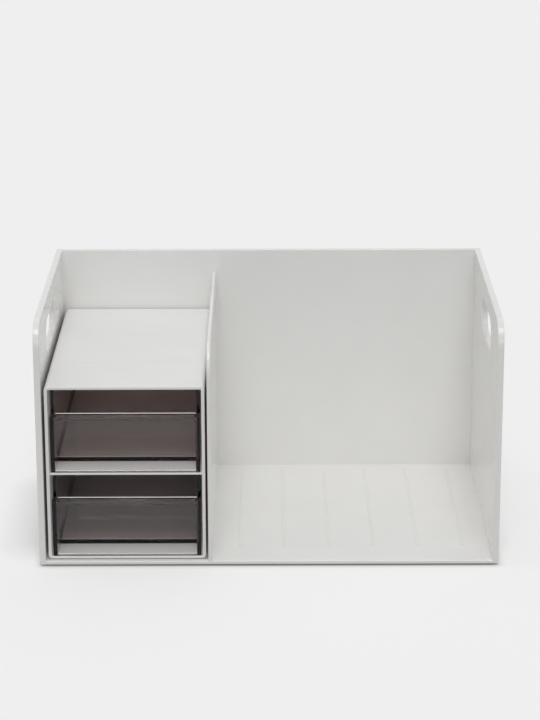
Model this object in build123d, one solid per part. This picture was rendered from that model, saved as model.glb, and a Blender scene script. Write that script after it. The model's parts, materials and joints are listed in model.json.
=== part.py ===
"""White desk organizer with an open bay and a two-drawer unit of smoky trays.

Millimetres, +Z up, +Y to the back. The origin is on the desk surface, in the middle of the
organizer's width and depth. The open frame is flat panels that plug into each other: the side,
back and divider panels stand on the base panel. The drawer unit is a box of its own that stands
in the left bay on its own feet, and its two trays slide out towards -Y.
"""
import os

from build123d import *

# ---------------------------------------------------------------- open frame
frame_width = 361.0            # over the outer faces of the side panels
frame_depth = 226.0            # front edge to the back face of the back panel
frame_height = 199.0           # desk surface to the top edges
side_thickness = 5.0
back_thickness = 4.0
base_thickness = 3.0
divider_thickness = 3.0
divider_drop = 20.0            # top edges of the side panels to the divider's
corner_radius = 20.0           # upper front corner of the side and divider panels
base_corner_radius = 1.5       # corners of the base panel, seen from above
edge_radius = 0.8              # rounding along the edges of every panel

# plug-in tabs: each standing panel has tabs that sit in blind slots of its neighbours
tab_length = 30.0
tab_thickness = 1.6
tab_height = 1.8
tab_clearance = 0.1            # all round a tab in its slot
tab_end_distance = 30.0        # tab centre to the end of its panel

# handle cut-outs in both side panels
handle_length = 82.0
handle_height = 26.0
handle_from_front = 101.0      # centre of the cut-out behind the front edge
handle_from_top = 30.5         # centre of the cut-out below the top edge
handle_edge_radius = 1.2

# low ribs on the floor of the open bay
rib_count = 6
rib_side_distance = 21.7       # middle of the outer ribs to the walls of the bay
rib_width = 2.0
rib_height = 0.5
rib_crown_radius = 0.4
rib_front_distance = 30.0      # front edge of the base to the ribs
rib_back_distance = 10.0       # ribs to the back panel

# rubber feet under the base panel
base_foot_diameter = 14.0
base_foot_gap = 1.6            # desk to base panel
base_foot_recess = 0.6
base_foot_inset = 16.0         # foot centre to the edges of the base panel
foot_clearance = 0.15          # round a foot in its recess
foot_edge_radius = 0.5         # lower edge of every foot

# ---------------------------------------------------------------- drawer unit
case_width = 124.0
case_setback = 3.5             # front of the case behind the front of the frame
case_back_gap = 1.5            # case to back panel
case_left_gap = 1.9            # left side panel to case
case_right_gap = 1.8           # case to divider
case_side_wall = 2.6
case_floor_plate = 1.7
case_top_plate = 2.3
shelf_thickness = 1.5
case_corner_radius = 3.0
case_inner_radius = 1.0
case_edge_radius = 0.5
drawer_opening_height = 68.2   # clear height of each drawer opening
case_foot_gap = 0.9            # base panel to case
case_foot_diameter = 10.0
case_foot_recess = 0.4
case_foot_inset = 14.0
back_cover_thickness = 2.0
back_cover_plug = 3.0          # depth of the raised field that locates the back cover
back_cover_clearance = 0.15
shelf_tongue = 1.0             # depth of the shelf's side tongues in the case walls
shelf_tongue_thickness = 1.2
shelf_tongue_setback = 6.0     # tongues stop short of the case front
shelf_clearance = 0.1
crease_from_front = 64.6       # fine line across the top, above the drawer stop
crease_width = 0.8
crease_depth = 0.15

# drawer stops: a tab under the case top and one under the shelf
stop_width = 36.0
stop_thickness = 3.0
stop_drop = 3.4                # how far a stop hangs down

# ---------------------------------------------------------------- drawers
drawer_side_clearance = 1.1
drawer_floor_clearance = 0.3
drawer_top_clearance = 2.0
drawer_setback = 1.0           # front of the drawers behind the front of the case
drawer_rear_clearance = 3.0
drawer_wall = 2.6              # side and back walls
drawer_front_wall = 2.5
drawer_floor = 3.2             # thickness of the floor
drawer_floor_rise = 0.8        # the drawer stands on skids, this far below its floor
drawer_inner_radius = 2.0
drawer_edge_radius = 0.4
recess_edge_radius = 0.35      # rim of the finger recess
floor_edge_radius = 0.5        # lower front edge of the drawer floor
lip_height = 45.4              # underside of the drawer to the top of the grip lip
lip_depth = 11.2
lip_thickness = 3.2
cheek_thickness = 3.4          # frame of the finger recess and the skids, left and right
recess_depth = 23.5            # drawer front to the foot of the slanted front wall
recess_corner_radius = 1.6
tie_height = 0.9               # thin bar that closes the recess at its foot
tie_depth = 3.0
wall_setback = 0.4             # lip to the foot of the side walls that rise behind it
wall_foot_radius = 0.6         # between the lip and the front edges of those walls
wall_crest_radius = 4.0        # upper front corners of those walls
drawer_stop_clearance = 0.3

tiny = 0.01                    # how near an edge lies to the place it is picked by

# ---------------------------------------------------------------- worked-out places
x_left = -frame_width / 2
x_right = frame_width / 2
y_front = -frame_depth / 2
y_back = frame_depth / 2
inner_left = x_left + side_thickness
inner_right = x_right - side_thickness
inner_back = y_back - back_thickness
base_bottom = base_foot_gap
base_top = base_bottom + base_thickness
panel_height = frame_height - base_top
divider_left = inner_left + case_left_gap + case_width + case_right_gap
divider_right = divider_left + divider_thickness
divider_height = panel_height - divider_drop

case_left = inner_left + case_left_gap
case_centre = case_left + case_width / 2
case_front = y_front + case_setback
case_bottom = base_top + case_foot_gap
case_floor_top = case_bottom + case_floor_plate
shelf_bottom = case_floor_top + drawer_opening_height
shelf_top = shelf_bottom + shelf_thickness
case_ceiling = shelf_top + drawer_opening_height
case_top = case_ceiling + case_top_plate
case_back = inner_back - case_back_gap
shell_depth = case_back - case_front - back_cover_thickness
case_inner_width = case_width - 2 * case_side_wall

drawer_width = case_inner_width - 2 * drawer_side_clearance
drawer_height = drawer_opening_height - drawer_floor_clearance - drawer_top_clearance
drawer_front = case_front + drawer_setback
drawer_length = (case_back - back_cover_thickness - back_cover_plug
                 - drawer_rear_clearance - drawer_front)
stop_rear = case_front + crease_from_front + stop_thickness / 2
drawer_travel = (drawer_front + drawer_length - drawer_wall
                 - stop_rear - drawer_stop_clearance)
drawer_floor_top = drawer_floor_rise + drawer_floor
wall_rise_start = lip_depth + wall_setback


def box(x_range, y_range, z_range):
    """Plain block from three (low, high) ranges."""
    low = Vector(x_range[0], y_range[0], z_range[0])
    high = Vector(x_range[1], y_range[1], z_range[1])
    size = high - low
    return Pos((low + high) / 2) * Box(size.X, size.Y, size.Z)


def tab_block(centre, along, outward, grow=0.0):
    """Tab that stands out of a panel's edge: along is the edge, outward the way it points."""
    size = {"X": tab_thickness, "Y": tab_thickness, "Z": tab_thickness}
    size[along] = tab_length
    size[outward[-1]] = 2 * tab_height
    dims = [size[axis] + 2 * grow for axis in "XYZ"]
    return Pos(*centre) * Box(*dims)


# ---------------------------------------------------------------- tab places
side_tab_ys = (y_front + tab_end_distance, y_back - tab_end_distance)
back_tab_xs = (inner_left + tab_end_distance, inner_right - tab_end_distance)
back_tab_zs = (base_top + tab_end_distance, frame_height - tab_end_distance)
divider_x = (divider_left + divider_right) / 2
divider_back_z = base_top + divider_height / 2
side_centres = {"left": x_left + side_thickness / 2, "right": x_right - side_thickness / 2}
back_centre = (inner_back + y_back) / 2


def base_tabs(names):
    """Tabs that go down into the base panel, for the named panels."""
    places = {
        "left": [((side_centres["left"], y, base_top), "Y") for y in side_tab_ys],
        "right": [((side_centres["right"], y, base_top), "Y") for y in side_tab_ys],
        "divider": [((divider_x, y, base_top), "Y") for y in side_tab_ys],
        "back": [((x, back_centre, base_top), "X") for x in back_tab_xs],
    }
    return [place for name in names for place in places[name]]


def panel_with_tabs(panel, places, outward):
    """The panel fused with the tabs at these places."""
    for centre, along in places:
        panel += tab_block(centre, along, outward)
    return panel


def cut_slots(panel, places, outward):
    """The panel with a blind slot for each tab at these places."""
    for centre, along in places:
        panel -= tab_block(centre, along, outward, tab_clearance)
    return panel


def foot_places(x_range, y_range, inset):
    """Four foot centres, keyed by corner, inside a rectangle."""
    xs = {"left": x_range[0] + inset, "right": x_range[1] - inset}
    ys = {"front": y_range[0] + inset, "rear": y_range[1] - inset}
    return {f"{row}_{side}": (xs[side], ys[row]) for row in ys for side in xs}


base_feet = foot_places((x_left, x_right), (y_front, y_back), base_foot_inset)
case_feet = foot_places(
    (case_left, case_left + case_width), (case_front, case_back), case_foot_inset
)


def disc(place, diameter, low, high):
    """Upright disc at an (x, y) place."""
    height = high - low
    return Pos(place[0], place[1], low + height / 2) * Cylinder(diameter / 2, height)


# ---------------------------------------------------------------- frame panels
def make_base_panel():
    """Floor plate with low ribs in the open bay, blind slots above and foot recesses below."""
    outline = RectangleRounded(frame_width, frame_depth, base_corner_radius)
    panel = Pos(0, 0, base_bottom) * extrude(outline, base_thickness)
    rims = panel.edges().group_by(Axis.Z)
    panel = fillet(rims[0] + rims[-1], edge_radius)
    for place in base_feet.values():
        recess = base_foot_diameter + 2 * foot_clearance
        panel -= disc(place, recess, 0, base_bottom + base_foot_recess)
    rib_start = y_front + rib_front_distance
    rib_length = inner_back - rib_back_distance - rib_start
    rib = extrude(SlotOverall(rib_length, rib_width, rotation=90), rib_height)
    crown = rib.faces().sort_by(Axis.Z)[-1]
    rib = fillet(crown.edges(), rib_crown_radius)
    first_rib = divider_right + rib_side_distance
    rib_pitch = (inner_right - rib_side_distance - first_rib) / (rib_count - 1)
    for index in range(rib_count):
        place = (first_rib + index * rib_pitch, rib_start + rib_length / 2, base_top)
        panel += Pos(*place) * rib
    return cut_slots(panel, base_tabs(["left", "right", "divider", "back"]), "-Z")


def standing_profile(height):
    """Outline of a standing panel seen from the side, with the round upper front corner."""
    with BuildSketch(Plane.YZ) as profile:
        with Locations((0, base_top)):
            Rectangle(frame_depth, height, align=(Align.CENTER, Align.MIN))
        upper_front = profile.vertices().group_by(Axis.Y)[-1].sort_by(Axis.X)[0]
        fillet(upper_front, corner_radius)
    return profile.sketch


def free_rims(panel):
    """Edges around both faces of a standing panel, apart from those at its foot."""
    rims = [face.outer_wire().edges() for face in panel.faces().filter_by(Axis.X)]
    return [edge for edge in rims[0] + rims[1] if edge.center().Z > base_top + edge_radius]


def make_side_panel(side):
    """Side panel with the round upper front corner and the handle cut-out."""
    x_low = {"left": x_left, "right": inner_right}[side]
    x_high = x_low + side_thickness
    panel = Pos(x_low, 0, 0) * extrude(standing_profile(panel_height), side_thickness)
    panel = fillet(free_rims(panel), edge_radius)
    handle = Plane.YZ * SlotOverall(handle_length, handle_height)
    handle_centre = (x_low, y_front + handle_from_front, frame_height - handle_from_top)
    panel -= Pos(*handle_centre) * extrude(handle, side_thickness)
    loops = [face.inner_wires()[0].edges() for face in panel.faces().filter_by(Axis.X)]
    panel = fillet(loops[0] + loops[1], handle_edge_radius)
    panel = panel_with_tabs(panel, base_tabs([side]), "-Z")
    inner_face = {"left": x_high, "right": x_low}[side]
    grooves = [((inner_face, back_centre, z), "Z") for z in back_tab_zs]
    return cut_slots(panel, grooves, "-X")


def make_back_panel():
    """Back panel between the side panels, with tabs at both ends and at its foot."""
    panel = box((inner_left, inner_right), (inner_back, y_back), (base_top, frame_height))
    top_edges = panel.edges().filter_by(Axis.X).group_by(Axis.Z)[-1]
    panel = fillet(top_edges, edge_radius)
    panel = panel_with_tabs(panel, base_tabs(["back"]), "-Z")
    ends = [((x, back_centre, z), "Z") for x in (inner_left, inner_right) for z in back_tab_zs]
    panel = panel_with_tabs(panel, ends, "+X")
    return cut_slots(panel, [((divider_x, inner_back, divider_back_z), "Z")], "-Y")


def make_divider_panel():
    """Divider between the two bays, a little lower than the side panels."""
    blank = Pos(divider_left, 0, 0) * extrude(standing_profile(divider_height), divider_thickness)
    panel = blank - box((x_left, x_right), (inner_back, y_back), (base_top, frame_height))
    rims = [edge for edge in free_rims(panel) if edge.center().Y < inner_back - edge_radius]
    panel = fillet(rims, edge_radius)
    panel = panel_with_tabs(panel, base_tabs(["divider"]), "-Z")
    return panel_with_tabs(panel, [((divider_x, inner_back, divider_back_z), "Z")], "+Y")


def make_foot(place, diameter, low, high):
    """Rubber foot with a softened lower edge."""
    foot = disc(place, diameter, low, high)
    return fillet(foot.edges().group_by(Axis.Z)[0], foot_edge_radius)


# ---------------------------------------------------------------- drawer case
def case_section(width, z_range, radius):
    """Rounded rectangle across the case, standing in the XZ plane."""
    low, high = z_range
    middle = (case_centre, 0, (low + high) / 2)
    place = Plane(origin=middle, x_dir=(1, 0, 0), z_dir=(0, 1, 0))
    return place * RectangleRounded(width, high - low, radius)


def stop_tab(hang_from):
    """Drawer stop that hangs under the case top or the shelf."""
    half = stop_width / 2
    tab = box(
        (case_centre - half, case_centre + half),
        (stop_rear - stop_thickness, stop_rear),
        (hang_from - stop_drop, hang_from),
    )
    lower_corners = tab.edges().filter_by(Axis.Y).group_by(Axis.Z)[0]
    return fillet(lower_corners, stop_drop / 2)


def make_drawer_case():
    """Case shell: a rounded tube, open at both ends, with grooves for the shelf."""
    outside = case_section(case_width, (case_bottom, case_top), case_corner_radius)
    inside = case_section(case_inner_width, (case_floor_top, case_ceiling), case_inner_radius)
    shell = Pos(0, case_front, 0) * extrude(outside - inside, shell_depth)
    front = shell.faces().sort_by(Axis.Y)[0]
    shell = fillet(front.edges(), case_edge_radius)
    groove_half = case_inner_width / 2 + shelf_tongue + shelf_clearance
    groove_tall = shelf_tongue_thickness / 2 + shelf_clearance
    shelf_middle = (shelf_bottom + shelf_top) / 2
    shell -= box(
        (case_centre - groove_half, case_centre + groove_half),
        (case_front + shelf_tongue_setback - shelf_clearance, case_back),
        (shelf_middle - groove_tall, shelf_middle + groove_tall),
    )
    crease_y = case_front + crease_from_front
    shell -= box(
        (case_left, case_left + case_width),
        (crease_y - crease_width / 2, crease_y + crease_width / 2),
        (case_top - crease_depth, case_top),
    )
    for place in case_feet.values():
        recess = case_foot_diameter + 2 * foot_clearance
        shell -= disc(place, recess, base_top, case_bottom + case_foot_recess)
    return shell + stop_tab(case_ceiling)


def make_middle_shelf():
    """Shelf between the drawers: side tongues run in the grooves of the case walls."""
    half = case_inner_width / 2 - shelf_clearance
    rear = case_front + shell_depth - back_cover_plug - back_cover_clearance
    shelf = box(
        (case_centre - half, case_centre + half), (case_front, rear), (shelf_bottom, shelf_top)
    )
    front_edges = shelf.faces().sort_by(Axis.Y)[0].edges().filter_by(Axis.X)
    shelf = fillet(front_edges, case_edge_radius)
    shelf_middle = (shelf_bottom + shelf_top) / 2
    tongue_half = half + shelf_tongue
    shelf += box(
        (case_centre - tongue_half, case_centre + tongue_half),
        (case_front + shelf_tongue_setback, rear),
        (shelf_middle - shelf_tongue_thickness / 2, shelf_middle + shelf_tongue_thickness / 2),
    )
    return shelf + stop_tab(shelf_bottom)


def make_case_back_cover():
    """Back cover of the case, with a raised field that plugs into the tube."""
    outside = case_section(case_width, (case_bottom, case_top), case_corner_radius)
    plate = extrude(outside, back_cover_thickness)
    plug = case_section(
        case_inner_width - 2 * back_cover_clearance,
        (case_floor_top + back_cover_clearance, case_ceiling - back_cover_clearance),
        case_inner_radius,
    )
    field = extrude(plug, back_cover_plug)
    plate = fillet(plate.faces().sort_by(Axis.Y)[-1].edges(), case_edge_radius)
    rear = case_back - back_cover_thickness
    return Pos(0, rear, 0) * plate + Pos(0, rear - back_cover_plug, 0) * field


# ---------------------------------------------------------------- drawers
def drawer_outline():
    """Outer side view of a drawer: low at the grip lip, then the walls rise."""
    rise_end = wall_rise_start + wall_foot_radius
    with BuildSketch(Plane.YZ) as profile:
        with BuildLine():
            Polyline(
                (wall_rise_start, lip_height),
                (0, lip_height),
                (0, 0),
                (drawer_length, 0),
                (drawer_length, drawer_height),
                (rise_end, drawer_height),
                (rise_end, lip_height + wall_foot_radius),
            )
            RadiusArc(
                (wall_rise_start, lip_height),
                (rise_end, lip_height + wall_foot_radius),
                -wall_foot_radius,
            )
        make_face()
        crest = profile.vertices().group_by(Axis.Y)[-1].sort_by(Axis.X)[0]
        fillet(crest, wall_crest_radius)
    return profile.sketch


def drawer_hollow_outline():
    """Side view of the space inside a drawer, behind the slanted front wall."""
    with BuildSketch(Plane.YZ) as profile:
        with BuildLine():
            Polyline(
                (lip_depth, drawer_height),
                (lip_depth, lip_height - lip_thickness),
                (recess_depth + drawer_front_wall, drawer_floor_top),
                (drawer_length - drawer_wall, drawer_floor_top),
                (drawer_length - drawer_wall, drawer_height),
                close=True,
            )
        make_face()
    return profile.sketch


def finger_recess_outline():
    """Side view of the finger recess under the lip, open at the front and at the foot."""
    lip_underside = lip_height - lip_thickness
    with BuildSketch(Plane.YZ) as profile:
        with BuildLine():
            Polyline(
                (0, lip_underside),
                (0, tie_height),
                (tie_depth, tie_height),
                (tie_depth, 0),
                (recess_depth, 0),
                (recess_depth, drawer_floor_top),
                (lip_depth - drawer_front_wall, lip_underside),
                close=True,
            )
        make_face()
    return profile.sketch


def is_on_lip_top(edge):
    """Whether an edge of the tray lies along the top face of the grip lip."""
    place = edge.center()
    return abs(place.Z - lip_height) < tiny and place.Y < wall_rise_start


def is_on_recess_rim(edge):
    """Whether an edge of the tray bounds the mouth of the finger recess."""
    place = edge.center()
    inside = abs(place.X) < drawer_width / 2 - drawer_edge_radius
    return abs(place.Y) < tiny and inside and tiny < place.Z < lip_height - lip_thickness + tiny


def is_under_floor_front(edge):
    """Whether an edge of the tray is the lower front edge of its floor."""
    place = edge.center()
    return abs(place.Y - recess_depth) < tiny and abs(place.Z - drawer_floor_rise) < tiny


def make_drawer(underside):
    """Smoky tray with a grip lip, a recess for the fingers and a slanted front wall."""
    tray = extrude(drawer_outline(), drawer_width / 2, both=True)
    hollow = extrude(drawer_hollow_outline(), drawer_width / 2 - drawer_wall, both=True)
    floor_edges = hollow.edges().group_by(Axis.Z)[0]
    upright_edges = hollow.edges().filter_by(Axis.Z).group_by(Axis.Y)[-1]
    hollow = fillet(floor_edges + upright_edges, drawer_inner_radius)
    recess = extrude(finger_recess_outline(), drawer_width / 2 - cheek_thickness, both=True)
    top_corners = recess.edges().filter_by(Axis.Y).group_by(Axis.Z)[-1]
    recess = fillet(top_corners, recess_corner_radius)
    space_below = box(
        (cheek_thickness - drawer_width / 2, drawer_width / 2 - cheek_thickness),
        (recess_depth, drawer_length - drawer_wall),
        (0, drawer_floor_rise),
    )
    tray = tray - hollow - recess - space_below
    lip_top = [edge for edge in tray.edges().filter_by(Axis.X) if is_on_lip_top(edge)]
    tray = fillet(lip_top, drawer_edge_radius)
    tray = fillet([edge for edge in tray.edges() if is_on_recess_rim(edge)], recess_edge_radius)
    tray = fillet([edge for edge in tray.edges() if is_under_floor_front(edge)], floor_edge_radius)
    return Pos(case_centre, drawer_front, underside) * tray


def make_parts():
    """All pieces, keyed by node name."""
    parts = {
        "base_panel": make_base_panel(),
        "back_panel": make_back_panel(),
        "left_side_panel": make_side_panel("left"),
        "right_side_panel": make_side_panel("right"),
        "divider_panel": make_divider_panel(),
        "drawer_case": make_drawer_case(),
        "middle_shelf": make_middle_shelf(),
        "case_back_cover": make_case_back_cover(),
        "upper_drawer": make_drawer(shelf_top + drawer_floor_clearance),
        "lower_drawer": make_drawer(case_floor_top + drawer_floor_clearance),
    }
    for name, place in base_feet.items():
        foot_top = base_bottom + base_foot_recess
        parts[f"base_foot_{name}"] = make_foot(place, base_foot_diameter, 0, foot_top)
    for name, place in case_feet.items():
        foot_top = case_bottom + case_foot_recess
        parts[f"case_foot_{name}"] = make_foot(place, case_foot_diameter, base_top, foot_top)
    return parts


os.makedirs("parts", exist_ok=True)
for node, piece in make_parts().items():
    export_step(piece, f"parts/{node}.step")
print(f"drawer travel {drawer_travel:.1f} mm, drawer length {drawer_length:.1f} mm")
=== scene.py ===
"""Looks of a white desk organizer with smoky drawers: materials, floor, light and camera."""
import json
import math

import bpy
from mathutils import Matrix, Vector


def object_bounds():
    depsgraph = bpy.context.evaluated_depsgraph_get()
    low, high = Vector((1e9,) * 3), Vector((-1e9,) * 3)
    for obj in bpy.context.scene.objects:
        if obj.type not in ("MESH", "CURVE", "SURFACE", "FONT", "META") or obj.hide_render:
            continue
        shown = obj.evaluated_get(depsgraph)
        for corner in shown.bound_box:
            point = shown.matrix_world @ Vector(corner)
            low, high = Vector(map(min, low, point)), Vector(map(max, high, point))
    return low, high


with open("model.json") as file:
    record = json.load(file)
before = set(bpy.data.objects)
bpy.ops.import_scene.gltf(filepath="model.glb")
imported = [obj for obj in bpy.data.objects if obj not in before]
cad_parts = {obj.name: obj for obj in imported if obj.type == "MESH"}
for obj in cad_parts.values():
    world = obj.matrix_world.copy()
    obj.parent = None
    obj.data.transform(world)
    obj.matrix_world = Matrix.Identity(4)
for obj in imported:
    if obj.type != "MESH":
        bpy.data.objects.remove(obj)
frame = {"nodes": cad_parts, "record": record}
cad_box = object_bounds()

# ---------------------------------------------------------------- camera
CAMERA_PLACE = Vector((0.0006, -1.8691, 0.7202))    # metres
CAMERA_YAW = 0.016             # degrees towards +X
CAMERA_PITCH = 17.393          # degrees below the horizon
CAMERA_ROLL = -0.148           # degrees about the line of sight
CAMERA_LENS = 120.12           # mm
FILM_HEIGHT = 36.0             # mm
LEVEL = 90                     # degrees of tilt at which a camera looks at the horizon

# ---------------------------------------------------------------- colours, linear
PANEL_WHITE = (0.910, 0.908, 0.893)
CASE_WHITE = (0.890, 0.890, 0.880)
SMOKY_FACE = (0.990, 0.985, 0.985)    # almost colourless, because the smoke is inside
RUBBER = (0.045, 0.045, 0.048)
BACKGROUND = (0.863, 0.863, 0.863)
FLOOR_BOUNCE = (0.60, 0.60, 0.59)     # the floor's colour for the light it throws at the object
SKY = (1.0, 1.0, 1.0)

# What each face lets straight through of a lamp's light
PANEL_PASSING = (0.30, 0.20, 0.14)
CASE_PASSING = (0.35, 0.27, 0.24)
SMOKY_PASSING = (0.99, 0.99, 0.99)    # and of the light that matt surfaces throw

# The smoky plastic's absorption per metre of depth is SMOKE_DENSITY * (1 - SMOKE)
SMOKE = (0.50, 0.36, 0.34)
SMOKE_DENSITY = 54.0
SMOKY_SHEEN = (0.60, 0.60, 0.64)      # tint of its reflections

# ---------------------------------------------------------------- finishes
# A noise is its cycles per metre, its detail and its roughness. The relief's depth is in metres,
# tone_change is a share of the colour, and roughness is the surface's least and most.
WHITE_FINISH = {
    "relief_noise": (1900, 3.0, 0.6),
    "relief_strength": 0.5,
    "tone_noise": (22, 4.0, 0.5),
    "tone_change": 0.012,
    "gloss_noise": (60, 3.0, 0.5),
    "ior": 1.48,
}
PANEL_FINISH = {**WHITE_FINISH, "relief_depth": 0.000001, "roughness": (0.03, 0.05)}
CASE_FINISH = {**WHITE_FINISH, "relief_depth": 0.00001, "roughness": (0.28, 0.36)}
SMOKY_FINISH = {
    "relief_noise": (45, 2.0, 0.5),
    "relief_strength": 0.1,
    "relief_depth": 0.000005,
    "tone_noise": (30, 3.0, 0.5),
    "tone_change": 0.008,
    "gloss_noise": (90, 3.0, 0.5),
    "roughness": (0.02, 0.06),
    "ior": 1.49,
}
RUBBER_FINISH = {
    "relief_noise": (1500, 4.0, 0.7),
    "relief_strength": 0.6,
    "relief_depth": 0.0001,
    "tone_noise": (150, 4.0, 0.5),
    "tone_change": 0.2,
    "gloss_noise": (300, 3.0, 0.5),
    "roughness": (0.70, 0.85),
    "ior": 1.50,
}
NOISE_SPAN = (0.3, 0.7)        # most values of a noise lie between these

# ---------------------------------------------------------------- light
SKY_STRENGTH = 0.34
LAMPS = {                      # W/m2, then degrees: height, turn from the front, apparent size
    "overhead": (0.77, 63, 0, 26),
    "top": (0.12, 85, 0, 40),
    "front": (0.05, 38, 0, 35),
    "beside_camera": (0.17, 15, 0, 24),
    "right": (0.19, 48, 90, 50),
    "left": (0.30, 50, 270, 50),
    "behind": (0.14, 50, 180, 40),
}

# ---------------------------------------------------------------- floor, in metres
FLOOR_SIZE = 14.0
FLOOR_GLOW = 0.45              # the largest share of its colour that no shadow darkens
GLOW_STRENGTH = 1.28           # with it, lit and glowing share together are as light as the backdrop
# Close to the object the floor's glow gives way, which paints shade on the floor beside its real
# shadow
CONTACT_START = -0.004         # from the object's outline to where the floor starts to glow
CONTACT_END = 0.006            # and to where the dark line of contact, partly real and partly painted by the missing glow, ends
PAINTED_SHADE_SHIFT = -0.014           # the painted soft shade round the object lies a little to the left
PAINTED_SHADE_INSIDE = 0.020           # how far inside the outline that painted shade is full at the sides
PAINTED_SHADE_ENDS = 0.055             # and at the front and the back
PAINTED_SHADE_REACH = 0.050            # from there to where it ends
ANY_HEIGHT = 1.0               # of the boxes that say this, because the floor is flat


# ---------------------------------------------------------------- node helpers
def new_material(name):
    """Empty node material, its tree and its output."""
    material = bpy.data.materials.new(name)
    material.use_nodes = True
    tree = material.node_tree
    tree.nodes.clear()
    return material, tree, tree.nodes.new("ShaderNodeOutputMaterial")


def add(tree, kind, **inputs):
    """New node with some of its sockets set or linked; an underscore stands for a space."""
    node = tree.nodes.new(kind)
    for key, value in inputs.items():
        socket = node.inputs[key.replace("_", " ")]
        if isinstance(value, bpy.types.NodeSocket):
            tree.links.new(value, socket)
        else:
            socket.default_value = value
    return node


def mix_shaders(tree, share, first, second):
    """The first shader, with a share of the second."""
    mix = add(tree, "ShaderNodeMixShader", Fac=share)
    tree.links.new(first.outputs[0], mix.inputs[1])
    tree.links.new(second.outputs[0], mix.inputs[2])
    return mix


def value_step(tree, operation, first, second):
    """One operation on two linked values."""
    node = tree.nodes.new("ShaderNodeMath")
    node.operation = operation
    tree.links.new(first, node.inputs[0])
    tree.links.new(second, node.inputs[1])
    return node.outputs[0]


def vector_step(tree, operation, first, second=(0, 0, 0)):
    """Node for one operation on a linked vector and, where it takes a second one, a constant."""
    node = tree.nodes.new("ShaderNodeVectorMath")
    node.operation = operation
    tree.links.new(first, node.inputs[0])
    node.inputs[1].default_value = second
    return node


def noise(tree, cycles, detail, roughness):
    """Noise in the model's own space, with so many cycles per metre."""
    place = tree.nodes.new("ShaderNodeTexCoord").outputs["Object"]
    node = add(
        tree, "ShaderNodeTexNoise",
        Vector=place, Scale=cycles, Detail=detail, Roughness=roughness,
    )
    return node.outputs["Fac"]


def map_range(tree, value, before, after):
    """Value mapped from one range onto another."""
    node = add(tree, "ShaderNodeMapRange", Value=value)
    node.inputs["From Min"].default_value, node.inputs["From Max"].default_value = before
    node.inputs["To Min"].default_value, node.inputs["To Max"].default_value = after
    return node.outputs["Result"]


def shade(tree, value, colour, change):
    """Colour that gets a little darker and lighter with a noise value."""
    ramp = tree.nodes.new("ShaderNodeValToRGB")
    for stop, place, factor in zip(ramp.color_ramp.elements, NOISE_SPAN, (1 - change, 1 + change)):
        stop.position = place
        stop.color = [min(channel * factor, 1) for channel in colour] + [1]
    tree.links.new(value, ramp.inputs["Fac"])
    return ramp.outputs["Color"]


# ---------------------------------------------------------------- materials
def skin(
    tree, colour, relief_noise, relief_strength, relief_depth, tone_noise, tone_change,
    gloss_noise, roughness, ior, **more,
):
    """Shader with a fine relief and small changes of tone and of roughness."""
    relief = add(
        tree, "ShaderNodeBump",
        Height=noise(tree, *relief_noise), Strength=relief_strength, Distance=relief_depth,
    )
    return add(
        tree, "ShaderNodeBsdfPrincipled",
        Base_Color=shade(tree, noise(tree, *tone_noise), colour, tone_change),
        Roughness=map_range(tree, noise(tree, *gloss_noise), NOISE_SPAN, roughness),
        Normal=relief.outputs["Normal"],
        IOR=ior,
        **more,
    )


def white_plastic(name, colour, passing, finish):
    """Thin white plastic that lets a share of the lamps' light through."""
    material, tree, output = new_material(name)
    plastic = skin(tree, colour, **finish)
    clear = add(tree, "ShaderNodeBsdfTransparent", Color=(*passing, 1))
    to_lamp = tree.nodes.new("ShaderNodeLightPath").outputs["Is Shadow Ray"]
    surface = mix_shaders(tree, to_lamp, plastic, clear)
    tree.links.new(surface.outputs[0], output.inputs["Surface"])
    return material


def smoky_plastic():
    """Polished see-through plastic that darkens with its thickness."""
    material, tree, output = new_material("smoky_plastic")
    plastic = skin(
        tree, SMOKY_FACE, **SMOKY_FINISH,
        Specular_Tint=(*SMOKY_SHEEN, 1),
        Transmission_Weight=1.0,
    )
    clear = add(tree, "ShaderNodeBsdfTransparent", Color=(*SMOKY_PASSING, 1))
    rays = tree.nodes.new("ShaderNodeLightPath").outputs
    to_lamp = mix_shaders(tree, rays["Is Shadow Ray"], plastic, clear)
    surface = mix_shaders(tree, rays["Is Diffuse Ray"], to_lamp, clear)
    smoke = add(tree, "ShaderNodeVolumeAbsorption", Color=(*SMOKE, 1), Density=SMOKE_DENSITY)
    tree.links.new(surface.outputs[0], output.inputs["Surface"])
    tree.links.new(smoke.outputs["Volume"], output.inputs["Volume"])
    return material


def foot_rubber():
    """Soft matt rubber."""
    material, tree, output = new_material("foot_rubber")
    rubber = skin(tree, RUBBER, **RUBBER_FINISH)
    tree.links.new(rubber.outputs["BSDF"], output.inputs["Surface"])
    return material


def dress_nodes():
    """Each CAD node gets the material of its slot."""
    by_slot = {
        "white_panel": white_plastic("white_panel", PANEL_WHITE, PANEL_PASSING, PANEL_FINISH),
        "white_case": white_plastic("white_case", CASE_WHITE, CASE_PASSING, CASE_FINISH),
        "smoky_plastic": smoky_plastic(),
        "foot_rubber": foot_rubber(),
    }
    for subpart in frame["record"]["subparts"]:
        piece = frame["nodes"][subpart["node"]]
        piece.data.materials.clear()
        piece.data.materials.append(by_slot[subpart["material_slot"]])


# ---------------------------------------------------------------- floor and sky
def direct_view(tree):
    """1 for rays that look at a surface straight, by reflection or through clear plastic."""
    # The larger of two values that are 0 or 1 is 1 where at least one of them is
    rays = tree.nodes.new("ShaderNodeLightPath").outputs
    seen = value_step(tree, "MAXIMUM", rays["Is Camera Ray"], rays["Is Glossy Ray"])
    return value_step(tree, "MAXIMUM", seen, rays["Is Transmission Ray"])


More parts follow.
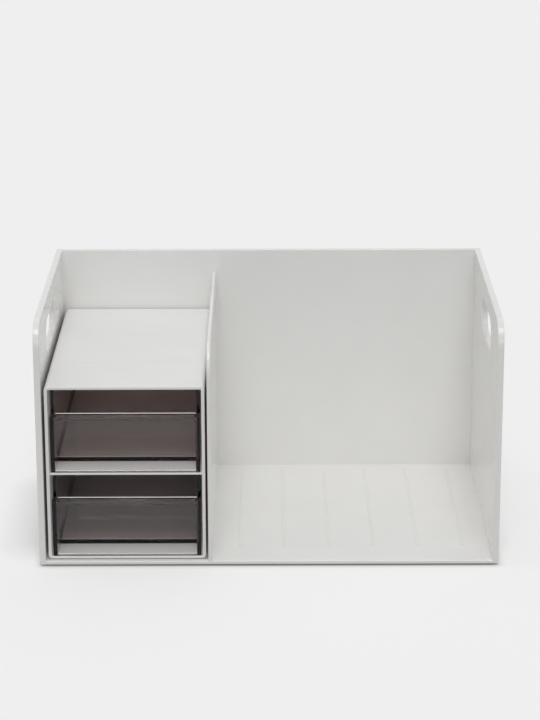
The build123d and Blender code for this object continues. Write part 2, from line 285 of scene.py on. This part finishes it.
def outside_box(tree, middle, half_size):
    """How far a point lies outside a box, in metres: 0 inside it."""
    place = tree.nodes.new("ShaderNodeTexCoord").outputs["Object"]
    centred = vector_step(tree, "SUBTRACT", place, middle)
    mirrored = vector_step(tree, "ABSOLUTE", centred.outputs[0])
    past_faces = vector_step(tree, "SUBTRACT", mirrored.outputs[0], half_size)
    outwards = vector_step(tree, "MAXIMUM", past_faces.outputs[0])
    return vector_step(tree, "LENGTH", outwards.outputs[0]).outputs["Value"]


def glow_share(tree):
    """How much of the floor's colour no shadow darkens: little close to the object, which paints a
    dark line of contact and a soft shade there.
    """
    half_width, half_depth = (max(abs(cad_box[0][i]), abs(cad_box[1][i])) for i in (0, 1))
    # The painted dark line of contact round the object's outline
    outline = (half_width + CONTACT_START, half_depth + CONTACT_START, ANY_HEIGHT)
    from_outline = outside_box(tree, (0, 0, 0), outline)
    sharp = map_range(tree, from_outline, (0, CONTACT_END - CONTACT_START), (0, 1))
    # The painted soft shade, a box shifted a little to the left
    shaded = (half_width - PAINTED_SHADE_INSIDE, half_depth - PAINTED_SHADE_ENDS, ANY_HEIGHT)
    from_shade = outside_box(tree, (PAINTED_SHADE_SHIFT, 0, 0), shaded)
    soft = map_range(tree, from_shade, (0, PAINTED_SHADE_REACH), (0, FLOOR_GLOW))
    return value_step(tree, "MULTIPLY", sharp, soft)


def make_floor():
    """Pale floor with a soft shadow, partly real and partly painted by a mask on its glow, that
    doesn't light the object up too much.
    """
    material, tree, output = new_material("floor")
    lit = add(tree, "ShaderNodeBsdfDiffuse", Color=(*BACKGROUND, 1))
    glow = add(tree, "ShaderNodeEmission", Color=(*BACKGROUND, 1), Strength=GLOW_STRENGTH)
    bounce = add(tree, "ShaderNodeBsdfDiffuse", Color=(*FLOOR_BOUNCE, 1))
    # Less glow close to the object paints a dark line of contact and a soft shade
    seen = mix_shaders(tree, glow_share(tree), lit, glow)
    surface = mix_shaders(tree, direct_view(tree), bounce, seen)
    tree.links.new(surface.outputs[0], output.inputs["Surface"])
    bpy.ops.mesh.primitive_plane_add(size=FLOOR_SIZE)
    floor = bpy.context.object
    floor.name = "floor"
    floor.data.materials.append(material)


def make_sky():
    """Even light from all round, seen as the plain background."""
    world = bpy.data.worlds.new("sky")
    bpy.context.scene.world = world
    world.use_nodes = True
    tree = world.node_tree
    tree.nodes.clear()
    output = tree.nodes.new("ShaderNodeOutputWorld")
    even = add(tree, "ShaderNodeBackground", Color=(*SKY, 1), Strength=SKY_STRENGTH)
    backdrop = add(tree, "ShaderNodeBackground", Color=(*BACKGROUND, 1), Strength=1.0)
    surface = mix_shaders(tree, direct_view(tree), even, backdrop)
    tree.links.new(surface.outputs[0], output.inputs["Surface"])


# ---------------------------------------------------------------- lamps and camera
def place_in_scene(name, data):
    """New object in the scene for a lamp or a camera."""
    thing = bpy.data.objects.new(name, data)
    bpy.context.scene.collection.objects.link(thing)
    return thing


def make_lamp(name, strength, height, turn, size):
    """Soft studio lamp, far away, that shines towards the object."""
    data = bpy.data.lights.new(name, "SUN")
    data.energy = strength
    data.angle = math.radians(size)
    height = math.radians(height)
    turn = math.radians(turn)
    sideways = math.cos(height)
    away = Vector((sideways * math.sin(turn), -sideways * math.cos(turn), math.sin(height)))
    place_in_scene(name, data).rotation_euler = away.to_track_quat("Z", "Y").to_euler()


def rotation(degrees, axis):
    """Matrix that turns by an angle about an axis."""
    return Matrix.Rotation(math.radians(degrees), 4, axis)


def make_camera():
    """Camera where the photograph was taken from."""
    data = bpy.data.cameras.new("camera")
    data.sensor_fit = "VERTICAL"
    data.sensor_height = FILM_HEIGHT
    data.lens = CAMERA_LENS
    camera = place_in_scene("camera", data)
    turn = rotation(-CAMERA_YAW, "Z")
    tilt = rotation(LEVEL - CAMERA_PITCH, "X")
    roll = rotation(CAMERA_ROLL, "Z")
    camera.matrix_world = Matrix.Translation(CAMERA_PLACE) @ turn @ tilt @ roll
    bpy.context.scene.camera = camera


dress_nodes()
make_floor()
make_sky()
for lamp_name, lamp_values in LAMPS.items():
    make_lamp(lamp_name, *lamp_values)
make_camera()
bpy.context.scene.view_settings.view_transform = "Standard"
